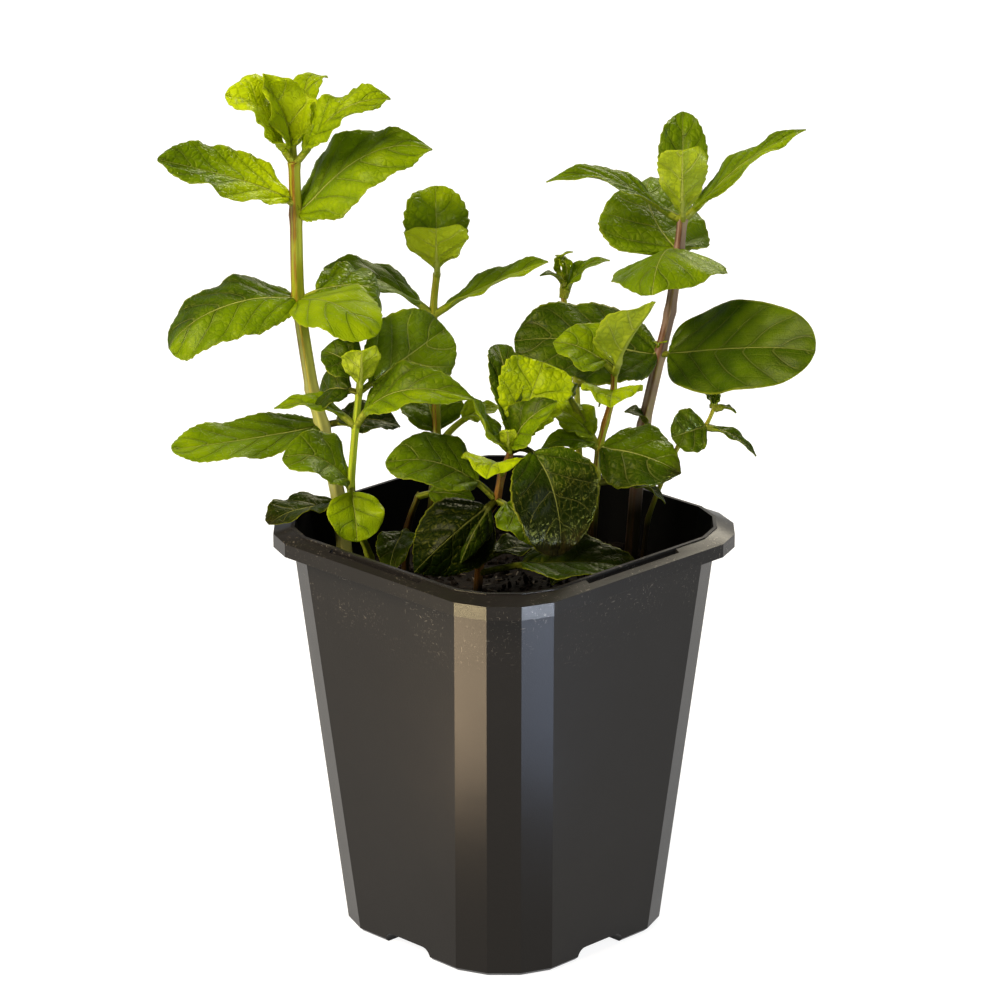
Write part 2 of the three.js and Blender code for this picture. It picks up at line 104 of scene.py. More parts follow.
def node(tree, kind, settings=None, **inputs):
    """Adds a shader node with its settings. An input is a value, or a socket that is linked to it."""
    made = tree.nodes.new(kind)
    for name, value in (settings or {}).items():
        setattr(made, name, value)
    for name, value in inputs.items():
        place = int(name[1:]) if name[0] == "i" and name[1:].isdigit() else name.replace("_", " ")
        if isinstance(value, bpy.types.NodeSocket):
            tree.links.new(value, made.inputs[place])
        else:
            made.inputs[place].default_value = value
    return made


def material(name):
    """A new material with its Principled shader, linked to the output."""
    made = bpy.data.materials.new(name)
    made.use_nodes = True
    return made, made.node_tree, made.node_tree.nodes["Principled BSDF"]


def mesh_object(name, points, faces, finish, smooth=True):
    """An object from a list of points and faces, with its material."""
    data = bpy.data.meshes.new(name)
    data.from_pydata([tuple(p) for p in points], [], faces)
    data.validate()
    data.update()
    data.polygons.foreach_set("use_smooth", [smooth] * len(data.polygons))
    data.materials.append(finish)
    made = bpy.data.objects.new(name, data)
    bpy.context.scene.collection.objects.link(made)
    return made


# Matt white floor paint: even, with hardly a reflection, and lit a little from within
floor_paint, tree, shader = material("matt_white_floor")
shader.inputs["Base Color"].default_value = linear(FLOOR_WHITE)
shader.inputs["Roughness"].default_value = 0.9
shader.inputs["Specular IOR Level"].default_value = 0.1
shader.inputs["Emission Color"].default_value = linear("#ffffff")
shader.inputs["Emission Strength"].default_value = FLOOR_GLOW
corners = [(x * FLOOR_HALF, y * FLOOR_HALF, 0) for x, y in ((-1, -1), (1, -1), (1, 1), (-1, 1))]
floor = mesh_object("floor", corners, [(0, 1, 2, 3)], floor_paint, smooth=False)

world = bpy.data.worlds.new("white_room")
bpy.context.scene.world = world
world.use_nodes = True
tree = world.node_tree
heading = node(tree, "ShaderNodeTexCoord").outputs["Generated"]
away = (-math.sin(FRONT_TURN), math.cos(FRONT_TURN), 0)
facing = node(tree, "ShaderNodeVectorMath", {"operation": "DOT_PRODUCT"}, i0=heading, i1=away)
# The backdrop fills the view behind the plant and fades out towards its sides and its top
behind = node(tree, "ShaderNodeMapRange", i0=facing.outputs["Value"], i1=0.15, i2=0.6).outputs[0]
rising = node(tree, "ShaderNodeSeparateXYZ", Vector=heading).outputs["Z"]
low = node(tree, "ShaderNodeMapRange", i0=rising, i1=0.6, i2=0.3).outputs[0]
screen = node(tree, "ShaderNodeMath", {"operation": "MULTIPLY"}, i0=behind, i1=low).outputs[0]
bright = node(tree, "ShaderNodeMapRange", i0=screen, i3=ROOM, i4=BACKDROP).outputs[0]
tree.nodes["Background"].inputs["Color"].default_value = linear("#ffffff")
tree.links.new(bright, tree.nodes["Background"].inputs["Strength"])


def light(name, shape, size, watts, colour, place, target):
    """A soft lamp at a place, facing a target."""
    lamp = bpy.data.lights.new(name, "AREA")
    lamp.shape = shape
    lamp.size, lamp.size_y = size
    lamp.energy = watts
    lamp.color = linear(colour)[:3]
    holder = bpy.data.objects.new(name, lamp)
    bpy.context.scene.collection.objects.link(holder)
    holder.location = place
    holder.rotation_euler = (place - target).to_track_quat("Z", "Y").to_euler()
    holder.visible_camera = False
    return holder


def from_front(turn):
    """The level direction that lies so many degrees to the right of the plant's front."""
    around = FRONT_TURN - math.pi / 2 + math.radians(turn)
    return Vector((math.cos(around), math.sin(around), 0))


plant_middle = Vector((0, 0, LAMP_TARGET))
for name, turn, height, distance, size, watts, colour in LAMPS:
    up = math.radians(height)
    place = plant_middle + distance * (from_front(turn) * math.cos(up) + Vector((0, 0, math.sin(up))))
    light(name, "DISK", (size, size), watts, colour, place, plant_middle)
for name, turn, near, far, width, watts, colour in CARDS:
    place = (near + far) / 2 * from_front(turn) + Vector((0, 0, CARD_RAISED))
    card = light(name, "RECTANGLE", (width, far - near), watts, colour, place, place - Vector((0, 0, 1)))
    card.rotation_euler = (math.pi, 0, FRONT_TURN + math.radians(turn))
    card.visible_diffuse = False
    card.visible_transmission = False
bpy.context.scene.view_settings.view_transform = "Standard"


# Pot. One thin injection moulding in black polypropylene, its four corners each turned through three
# flats, with a hollow collar round the mouth. It is satin, scuffed and dusty near the collar.
POT_BLACK = "#191715"
POT_INSIDE_SHADE = "#040404"
POT_DUST = "#b4aa9a"
EDGE_ROUND = 0.3 * MM
FLAT_ANGLE = math.radians(15)
DUST_LOW, DUST_HIGH = 86 * MM, 109 * MM
DUST_PATCH = 11.111 * MM
DUST_SPECK = 0.9091 * MM
SCRATCH_WIDTH = 0.45455 * MM
WALL_WAVE = 35.714 * MM
SATIN_GRAIN = 0.41667 * MM

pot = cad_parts["pot"]
weld = pot.modifiers.new("weld", "WELD")
weld.merge_threshold = 0.01 * MM
bevel = pot.modifiers.new("soft_edges", "BEVEL")
bevel.width = EDGE_ROUND
bevel.segments = 2
bevel.limit_method = "ANGLE"
bevel.angle_limit = FLAT_ANGLE
level = pot.modifiers.new("level_flats", "WEIGHTED_NORMAL")
level.weight = 100

# Moulded polypropylene, black all through: a soft satin sheen that shows each flat as one even tone
black_plastic, tree, shader = material("moulded_polypropylene")
place = node(tree, "ShaderNodeTexCoord").outputs["Object"]
height = node(tree, "ShaderNodeSeparateXYZ", Vector=place).outputs["Z"]
# The mouth of the pot gathers dust and fine scratches, thinning out 20 mm below the collar
near_rim = node(tree, "ShaderNodeMapRange", i0=height, i1=DUST_LOW, i2=DUST_HIGH).outputs[0]
patches = node(tree, "ShaderNodeTexNoise", i0=place, Scale=1 / DUST_PATCH, Detail=4.0).outputs["Fac"]
patch_spots = node(tree, "ShaderNodeMapRange", i0=patches, i1=0.42, i2=0.68).outputs[0]
specks = node(tree, "ShaderNodeTexNoise", i0=place, Scale=1 / DUST_SPECK, Detail=5.0, Roughness=0.8)
marks = node(tree, "ShaderNodeMapRange", i0=specks.outputs["Fac"], i1=0.60, i2=0.68, i4=0.8).outputs[0]
for stretch in ((0.2, 0.2, 1), (1, 1, 0.25)):
    drawn = node(tree, "ShaderNodeMapping", Vector=place, Scale=stretch).outputs[0]
    lines = node(tree, "ShaderNodeTexNoise", i0=drawn, Scale=1 / SCRATCH_WIDTH, Detail=1.0).outputs["Fac"]
    lines = node(tree, "ShaderNodeMapRange", i0=lines, i1=0.70, i2=0.8, i4=0.5).outputs[0]
    marks = node(tree, "ShaderNodeMath", {"operation": "MAXIMUM"}, i0=marks, i1=lines).outputs[0]
dust = node(tree, "ShaderNodeMath", {"operation": "MULTIPLY"}, i0=marks, i1=patch_spots).outputs[0]
dust = node(tree, "ShaderNodeMath", {"operation": "MULTIPLY"}, i0=dust, i1=near_rim).outputs[0]
colour = node(tree, "ShaderNodeMix", {"data_type": "RGBA"}, i0=dust, i6=linear(POT_BLACK),
              i7=linear(POT_DUST)).outputs[2]
# Inside, the wall is dull, and its colour is painted near black as painted shade
facing = node(tree, "ShaderNodeTexCoord").outputs["Normal"]
sideways = node(tree, "ShaderNodeVectorMath", {"operation": "MULTIPLY"}, i0=place, i1=(1, 1, 0)).outputs[0]
outward = node(tree, "ShaderNodeVectorMath", {"operation": "DOT_PRODUCT"}, i0=sideways, i1=facing)
inside = node(tree, "ShaderNodeMapRange", i0=outward.outputs["Value"], i1=-5 * MM, i2=-25 * MM).outputs[0]
colour = node(tree, "ShaderNodeMix", {"data_type": "RGBA"}, i0=inside, i6=colour,
              i7=linear(POT_INSIDE_SHADE)).outputs[2]
tree.links.new(colour, shader.inputs["Base Color"])
# A moulded wall is never quite flat: long low waves, and a fine satin grain
waves = node(tree, "ShaderNodeTexNoise", i0=place, Scale=1 / WALL_WAVE, Detail=2.0).outputs["Fac"]
grain = node(tree, "ShaderNodeTexNoise", i0=place, Scale=1 / SATIN_GRAIN, Detail=2.0).outputs["Fac"]
low = node(tree, "ShaderNodeBump", Height=waves, Strength=0.15, Distance=1.5 * MM).outputs[0]
fine = node(tree, "ShaderNodeBump", Height=grain, Strength=0.12, Distance=0.2 * MM, Normal=low).outputs[0]
tree.links.new(fine, shader.inputs["Normal"])
scuff = node(tree, "ShaderNodeMapRange", i0=patches, i1=0.3, i2=0.75, i3=0.29, i4=0.32).outputs[0]
dull = node(tree, "ShaderNodeMath", {"operation": "MULTIPLY_ADD"}, i0=inside, i1=0.6, i2=scuff).outputs[0]
tree.links.new(dull, shader.inputs["Roughness"])
shader.inputs["Specular IOR Level"].default_value = 0.13
pot.data.materials.clear()
pot.data.materials.append(black_plastic)


# Soil. Damp dark peat mix filling the pot to 17 mm below its rim, with loose crumbs and bits of bark
# lying on its lumpy top.
PEAT = "#0f0b08"
BARK = "#241a12"
STRAW = "#54452f"
CLOD = 2.381 * MM
BARK_MOTTLE = 6.25 * MM
SOIL_TOP = 96 * MM
LUMP_HEIGHT = 0.9 * MM
SOIL_MARGIN = 2.2 * MM
CORNER_CUT = 1.62
CRUMBS = 1500
CRUMB_SIZE = (0.7 * MM, 2.6 * MM)
SHREDS = 50
SHRED_WIDTH = 1 * MM
SHRED_STRETCH = (2.0, 6.0)
SHRED_RAISED = 0.9 * MM

# Damp peat: almost black, quite dull, broken up by paler fibres
peat, tree, shader = material("damp_peat")
place = node(tree, "ShaderNodeTexCoord").outputs["Object"]
clods = node(tree, "ShaderNodeTexNoise", i0=place, Scale=1 / CLOD, Detail=5.0, Roughness=0.65).outputs["Fac"]
fibres = node(tree, "ShaderNodeMapRange", i0=clods, i1=0.5, i2=0.75).outputs[0]
colour = node(tree, "ShaderNodeMix", {"data_type": "RGBA"}, i0=fibres, i6=linear(PEAT),
              i7=linear(BARK)).outputs[2]
tree.links.new(colour, shader.inputs["Base Color"])
lumps = node(tree, "ShaderNodeBump", Height=clods, Strength=0.8, Distance=1.2 * MM).outputs[0]
tree.links.new(lumps, shader.inputs["Normal"])
shader.inputs["Roughness"].default_value = 0.95
shader.inputs["Specular IOR Level"].default_value = 0.1
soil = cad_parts["soil"]
soil.data.materials.clear()
soil.data.materials.append(peat)


def soil_top(x, y):
    """The height of the soil's lumpy top, in metres."""
    x, y = x / MM, y / MM
    return SOIL_TOP + LUMP_HEIGHT * (math.sin(x / 6 + 1) * math.cos(y / 7) + 0.6 * math.sin((x - y) / 3.5))


picks = np.random.default_rng(7)
soil_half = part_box("soil")[1].x - SOIL_MARGIN
crumb_mesh = bmesh.new()
placed = 0
while placed < CRUMBS:
    x, y = picks.uniform(-soil_half, soil_half, 2)
    if abs(x) + abs(y) > CORNER_CUT * soil_half:
        continue
    size = CRUMB_SIZE[0] + (CRUMB_SIZE[1] - CRUMB_SIZE[0]) * picks.random() ** 3
    squeeze = picks.uniform(0.55, 1.25, 3)
    made = bmesh.ops.create_icosphere(crumb_mesh, subdivisions=1, radius=size / 2)["verts"]
    for vertex in made:
        bend = picks.uniform(0.78, 1.15)
        vertex.co = Vector(vertex.co[i] * squeeze[i] * bend for i in range(3))
        vertex.co += Vector((x, y, soil_top(x, y) + 0.2 * size))
    placed += 1
for _ in range(SHREDS):
    x, y = picks.uniform(-0.8, 0.8, 2) * soil_half
    stretch, turn, tilt = picks.uniform(*SHRED_STRETCH), picks.uniform(0, math.pi), picks.uniform(-0.3, 0.3)
    made = bmesh.ops.create_icosphere(crumb_mesh, subdivisions=1, radius=SHRED_WIDTH / 2)["verts"]
    for vertex in made:
        along, aside, up = vertex.co.x * stretch, vertex.co.y * 0.5, vertex.co.z * 0.4
        vertex.co = (x + along * math.cos(turn) - aside * math.sin(turn),
                     y + along * math.sin(turn) + aside * math.cos(turn),
                     soil_top(x, y) + SHRED_RAISED + up + along * tilt)
    for face in {face for vertex in made for face in vertex.link_faces}:
        face.material_index = 1
crumb_data = bpy.data.meshes.new("soil_crumbs")
crumb_mesh.to_mesh(crumb_data)
crumb_mesh.free()
crumb_data.materials.append(peat)
# Shreds of dry bark: dull straw brown, mottled darker where they are still damp
straw, tree, shader = material("dry_bark_shreds")
place = node(tree, "ShaderNodeTexCoord").outputs["Object"]
shade = node(tree, "ShaderNodeTexNoise", i0=place, Scale=1 / BARK_MOTTLE, Detail=2.0).outputs["Fac"]
colour = node(tree, "ShaderNodeMix", {"data_type": "RGBA"}, i0=shade, i6=linear(PEAT),
              i7=linear(STRAW)).outputs[2]
tree.links.new(colour, shader.inputs["Base Color"])
shader.inputs["Roughness"].default_value = 0.8
crumb_data.materials.append(straw)
crumbs = bpy.data.objects.new("soil_crumbs", crumb_data)
bpy.context.scene.collection.objects.link(crumbs)
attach(crumbs, "root")


# Left tall shoot. A square mint stem, brown on its sunny corners and olive on its flats, with leaves
# in opposite pairs. The blades are thin, quilted between sunken veins, glossy above and pale beneath.
LEAF_TONES = [(0.0, "#0f1c03"), (0.3, "#344a04"), (0.6, "#647e04"), (1.0, "#aabe08")]
LIGHT_TONES = [(0.0, "#1c3003"), (0.3, "#5e7c02"), (0.6, "#a4b803"), (1.0, "#d6e20a")]
LEAF_UNDER = "#a6b232"
VEIN_PALE = "#c6cc66"
MARGIN_GLOW = "#b0b828"
SHEEN = "#eef058"
SCORCHED = "#2b2412"
STALK_LIME = "#a3ab35"
STALK_SHADE = "#45480f"
STEM_OLIVE = "#8c9222"
STEM_BROWN = "#6a4218"
STEM_GREEN = "#a6bc30"
STEM_CREAM = "#b4b466"
STEM_SHADED = "#15100b"
COLUMNS = 15
OUTLINES = {
    "ovate": (0.55, 0.85),
    "round": (0.5, 0.55),
    "broad": (0.38, 0.42),
    "heart": (0.38, 0.8),
    "long": (0.75, 0.95),
    "oval": (0.6, 0.65),
    "spoon": (0.9, 0.6),
    "fan": (0.8, 0.28),
}
LEAF_FORM = {
    # Form: shared with the solid
    "outline": "ovate", "stalk": 4, "arch": 3, "sweep": 0, "peak": 0.5, "fold": 12, "wave": 0.8,
    "curl": 15,
    # Look: from dark to lime (low leaves in shadow are darker, partly as painted shade), lighter or darker
    # towards one half as painted light, lighter or darker towards the base, partly as painted shade,
    # quilting, crinkled margin, pale veins, gloss, browned tip, teeth
    "tone": 0.45, "half": 0.0, "base": 0.0, "pucker": 0.8, "crinkle": 0.3, "veins": 0.5,
    "gloss": 0.5, "brown": 0.0, "teeth": 0.7,
}
# Sizes of a leaf in mm, and shares of its length or width
STALK_HALF_WIDTH = 0.8
STALK_ROWS = 7
RIPPLES = 2.2
TOOTH_PITCH = 2.1
TOOTH_COUNT = (5, 20)
TOOTH_DEPTH = 0.5
TOOTH_PEAK = 0.75
VEIN_SPACING = 7
VEIN_PAIRS = (3, 5)
CELL_LENGTH = 2.8
CURL_FROM = 0.68
LEAF_THICK = 0.34
GREEN_PATCH = 7.6923077
QUILT_CELL = 1.8181818
SKIN_GRAIN = 0.52631579
# The stem: how much thinner it is at its top, how it is turned, and the side that the sun browns
STEM_TAPER = 0.3
STEM_STEPS = 14
STEM_SIDES = 24
STEM_TURN = math.radians(35)
SUNNY_SIDE = math.radians(195)
STEM_STREAK = 0.66667 * MM
STEM_FLUSH = 14.286 * MM


def leaf(joint, turn, rise, reach, width, roll, **form):
    """A leaf as it is grown: the joint of the stem that it leaves, the way it points, its size in mm."""
    row = dict(LEAF_FORM, joint=joint, turn=turn, rise=rise, reach=reach, width=width, roll=roll)
    row.update(form)
    return row


def leaf_surface(row, t, v, tooth, seed):
    """Points of a leaf's middle surface in mm, laid along x, with its vein coordinates.

    t runs from the stem to the tip and v from edge to edge, both as grids of the same shape.
    """
    start = row["stalk"] / row["reach"]
    length = row["reach"] - row["stalk"]
    u = np.clip((t - start) / (1 - start), 0, 1)
    power = row["peak"] / (1 - row["peak"])
    bow = t ** power * (1 - t) / (row["peak"] ** power * (1 - row["peak"]))
    a, b = OUTLINES[row["outline"]]
    widest = a / (a + b)
    full = widest ** a * (1 - widest) ** b
    half = 0.5 * row["width"] * u ** a * (1 - u) ** b / full
    half = np.maximum(half, STALK_HALF_WIDTH * (1 - 0.7 * t))
    broad = np.clip((half - 1) / 3, 0, 1)
    out = np.abs(v)
    wide = half + TOOTH_DEPTH * row["teeth"] * (tooth - 0.5) * broad * out ** 6
    fold = math.radians(row["fold"])
    phase = math.radians(row["turn"]) + np.where(v > 0, 0, 2.1)
    ripple = row["wave"] * np.sin(2 * np.pi * RIPPLES * u + phase) * v * v * np.minimum(1, half / 4)
    aside = row["sweep"] * bow + wide * v * math.cos(fold)
    lift = row["arch"] * bow + wide * out * math.sin(fold) + ripple
    # Side veins leave the midrib in pairs and arch towards the tip, with smaller ones across
    shake = np.random.default_rng(seed).uniform(0, 6.28, 8)
    pairs = np.clip(round(length / VEIN_SPACING), *VEIN_PAIRS)
    lean = 0.42 * out ** 1.2 * (1 - 0.35 * u)
    sway = 0.14 * np.sin(7 * u + shake[0] + 2 * v) + 0.07 * np.sin(13 * u + shake[1] - 3 * v)
    side = (u - lean + 0.04) * pairs + 0.15 * np.clip(v / 0.1, -1, 1) + sway * out
    distance = out * half
    across = distance / CELL_LENGTH + 0.37 * np.floor(side)
    # The blade is puffed up between them, and its margin is crinkled
    dome = np.abs(np.sin(np.pi * side)) ** 0.7 * (0.68 + 0.32 * np.abs(np.sin(np.pi * across)) ** 0.7)
    inner = np.clip(out * 4, 0, 1) * np.clip((1 - out) * 5, 0.15, 1)
    puff = row["pucker"] * (dome - 0.55) * inner * broad * (1 - 0.4 * u)
    groove = -0.4 * np.exp(-((distance / 0.8) ** 2)) * broad * (1 - 0.6 * u)
    crease = np.sin(u * 19 + shake[2] + np.sign(v)) + 0.6 * np.sin(u * 33 + shake[3] - 2 * v)
    swell = np.sin(u * 6 + shake[4] + 2 * v) * np.sin(2.6 * v + shake[5])
    lift = lift + puff + groove + row["crinkle"] * broad * (0.7 * crease * out ** 3 + 0.8 * swell)
    x = row["reach"] * t + 0 * v
    # The last of the blade rolls down to its tip
    bend = math.radians(row["curl"]) / (row["reach"] * (1 - CURL_FROM))
    if bend:
        rolled = np.clip(x - row["reach"] * CURL_FROM, 0, None)
        angle = bend * rolled
        x = x - rolled + np.sin(angle) / bend + lift * np.sin(angle)
        lift = lift * np.cos(angle) - (1 - np.cos(angle)) / bend
    return np.stack([x, -aside, lift], axis=-1), u, half, side, dome


def turned(row):
    """The leaf's rotation: rolled about its midrib, raised, then turned about the upright."""
    turn, rise, roll = (math.radians(row[k]) for k in ("turn", "rise", "roll"))
    about_x = np.array([[1, 0, 0], [0, math.cos(roll), -math.sin(roll)], [0, math.sin(roll), math.cos(roll)]])
    about_y = np.array([[math.cos(rise), 0, -math.sin(rise)], [0, 1, 0], [math.sin(rise), 0, math.cos(rise)]])
    about_z = np.array([[math.cos(turn), -math.sin(turn), 0], [math.sin(turn), math.cos(turn), 0], [0, 0, 1]])
    return about_z @ about_y @ about_x


def leaf_solid(row, base, seed):
    """One leaf as a closed thin solid: points in mm, faces, and what the finish reads at each point."""
    start = row["stalk"] / row["reach"]
    teeth = int(np.clip(round((row["reach"] - row["stalk"]) / TOOTH_PITCH), *TOOTH_COUNT))
    steps = np.linspace(0, 1, 4 * teeth + 1)
    saw = (steps * teeth) % 1
    saw = np.minimum(saw / TOOTH_PEAK, (1 - saw) / (1 - TOOTH_PEAK))
    rows = steps - 0.45 * np.sin(2 * np.pi * steps) / (2 * np.pi)
    stalk_rows = np.linspace(0, start, STALK_ROWS)[:-1]
    t = np.concatenate([stalk_rows, start + (1 - start) * rows])
    tooth = np.concatenate([0.5 + 0 * stalk_rows, saw])
    x = np.linspace(-1, 1, 2 * COLUMNS + 1)
    v = np.sign(x) * np.abs(x) ** 1.15
    tooth = np.repeat(tooth[:, None], len(v), axis=1)
    t, v = np.meshgrid(t, v, indexing="ij")
    points, u, half, side, dome = leaf_surface(row, t, v, tooth, seed)
    points = points @ turned(row).T + np.array(base)
    along = np.gradient(points, axis=0)
    across = np.gradient(points, axis=1)
    normal = np.cross(across, along)
    normal /= np.linalg.norm(normal, axis=2, keepdims=True) + 1e-9
    # The stalk is as thick as it is wide, and runs out along the blade's underside as the midrib
    out = np.abs(v)
    distance = out * half
    rim = np.sqrt(np.clip(1 - v * v, 0, 1))
    blade_part = np.clip((t - start) / 0.12, 0, 1)
    stalk_thick = 0.62 * rim * (1 - blade_part) * (1 - 0.4 * t)
    rib = 0.5 * np.exp(-((distance / 0.65) ** 2)) * (1 - u) ** 0.7
    edge = np.clip((1 - out) * 6, 0.35, 1)
    above = 0.5 * LEAF_THICK * edge + stalk_thick
    below = 0.5 * LEAF_THICK * edge + stalk_thick + rib
    upper = points + normal * above[..., None]
    lower = points - normal * below[..., None]
    rows, columns = t.shape
    count = rows * columns
    grid = np.arange(count).reshape(rows, columns)
    quads = np.stack([grid[:-1, :-1], grid[:-1, 1:], grid[1:, 1:], grid[1:, :-1]], axis=-1).reshape(-1, 4)
    ring = np.concatenate([grid[0, :-1], grid[:-1, -1], grid[-1, :0:-1], grid[:0:-1, 0]])
    after = np.roll(ring, -1)
    wall = np.stack([after, ring, ring + count, after + count], axis=-1)
    faces = np.concatenate([quads, quads[:, ::-1] + count, wall])
    # One half is painted lighter or darker as painted light, the base partly as painted shade
    tone = row["tone"] + 0.5 * row["half"] * np.clip(v * 4, -1, 1) + row["base"] * (1 - u) ** 1.5 * (u > 0)
    brown = row["brown"] * np.clip((u - 0.8) / 0.15 + 0.3 * np.sin(20 * v + seed), 0, 1) * (u > 0.7)
    blank = np.zeros(t.shape)
    look = {
        "leaf_mm": (row["reach"] * t, v * half, blank + seed * 7.3),
        "veins": (side, distance, u),
        "shade": (tone, 1 - out, np.clip(t / start, 0, 1)),
        "habit": (blank + row["veins"], blank + row["gloss"], brown),
        "relief": (dome, blank, blank + row["pucker"]),
    }
    look = {name: np.stack(values, axis=-1).reshape(-1, 3) for name, values in look.items()}
    look = {name: np.concatenate([values, values]) for name, values in look.items()}
    look["relief"][count:, 1] = 1
    return np.concatenate([upper.reshape(-1, 3), lower.reshape(-1, 3)]), faces, look


def stem_point(stem, joint):
    """The place where a leaf leaves the stem, at a joint or part of the way to the next one."""
    low = min(int(joint), len(stem) - 2)
    part = joint - low
    return np.array(stem[low]) * (1 - part) + np.array(stem[low + 1]) * part


def stem_solid(stem, thick):
    """A square stem with rounded corners and hollowed flats, swollen a little at every joint."""
    rings = []
    levels = []
    angle = np.linspace(0, 2 * np.pi, STEM_SIDES, endpoint=False)
    square = 1 / (np.abs(np.cos(angle)) ** 5 + np.abs(np.sin(angle)) ** 5) ** 0.2
    hollowed = 1 - 0.05 * np.cos(4 * angle)
    for k in range((len(stem) - 1) * STEM_STEPS + 1):
        joint = k / STEM_STEPS
        low = min(int(joint), len(stem) - 2)
        part = joint - low
        here, there = np.array(stem[low]), np.array(stem[low + 1])
        before = np.array(stem[max(low - 1, 0)])
        beyond = np.array(stem[min(low + 2, len(stem) - 1)])
        # It bends gently through its joints
        straight = there - here
        leaving, arriving = part * (1 - part) ** 2, part ** 2 * (1 - part)
        bend = leaving * ((there - before) / 2 - straight) - arriving * ((beyond - here) / 2 - straight)
        centre = here + part * straight + 0.5 * bend
        near = abs(joint - round(joint)) * np.linalg.norm(straight)
        swell = 1 + 0.16 * math.exp(-(near / 1.6) ** 2) * (0.5 < joint)
        across = thick * (1 - STEM_TAPER * joint / (len(stem) - 1)) * swell
        side = across / (math.cos(STEM_TURN) + math.sin(STEM_TURN))
        radius = 0.54 * side * square * hollowed
        turn = angle + STEM_TURN
        ring = np.stack([np.cos(turn) * radius, np.sin(turn) * radius, 0 * turn], axis=-1)
        rings.append(ring + centre)
        level = [angle / (2 * np.pi), np.full(STEM_SIDES, near), np.full(STEM_SIDES, joint)]
        levels.append(np.stack(level, axis=-1))
    top = np.array(stem[-1]) + np.array([0, 0, 1.5])
    points = np.concatenate([*rings, top[None]])
    looks = np.concatenate([*levels, levels[-1][:1]])
    faces = []
    for k in range(len(rings) - 1):
        lower, upper = k * STEM_SIDES, (k + 1) * STEM_SIDES
        for i in range(STEM_SIDES):
            j = (i + 1) % STEM_SIDES
            faces.append((lower + i, lower + j, upper + j, upper + i))
    last = (len(rings) - 1) * STEM_SIDES
    for i in range(STEM_SIDES):
        faces.append((last + i, last + (i + 1) % STEM_SIDES, len(points) - 1))
    faces.append(tuple(range(STEM_SIDES - 1, -1, -1)))
    return points, faces, looks


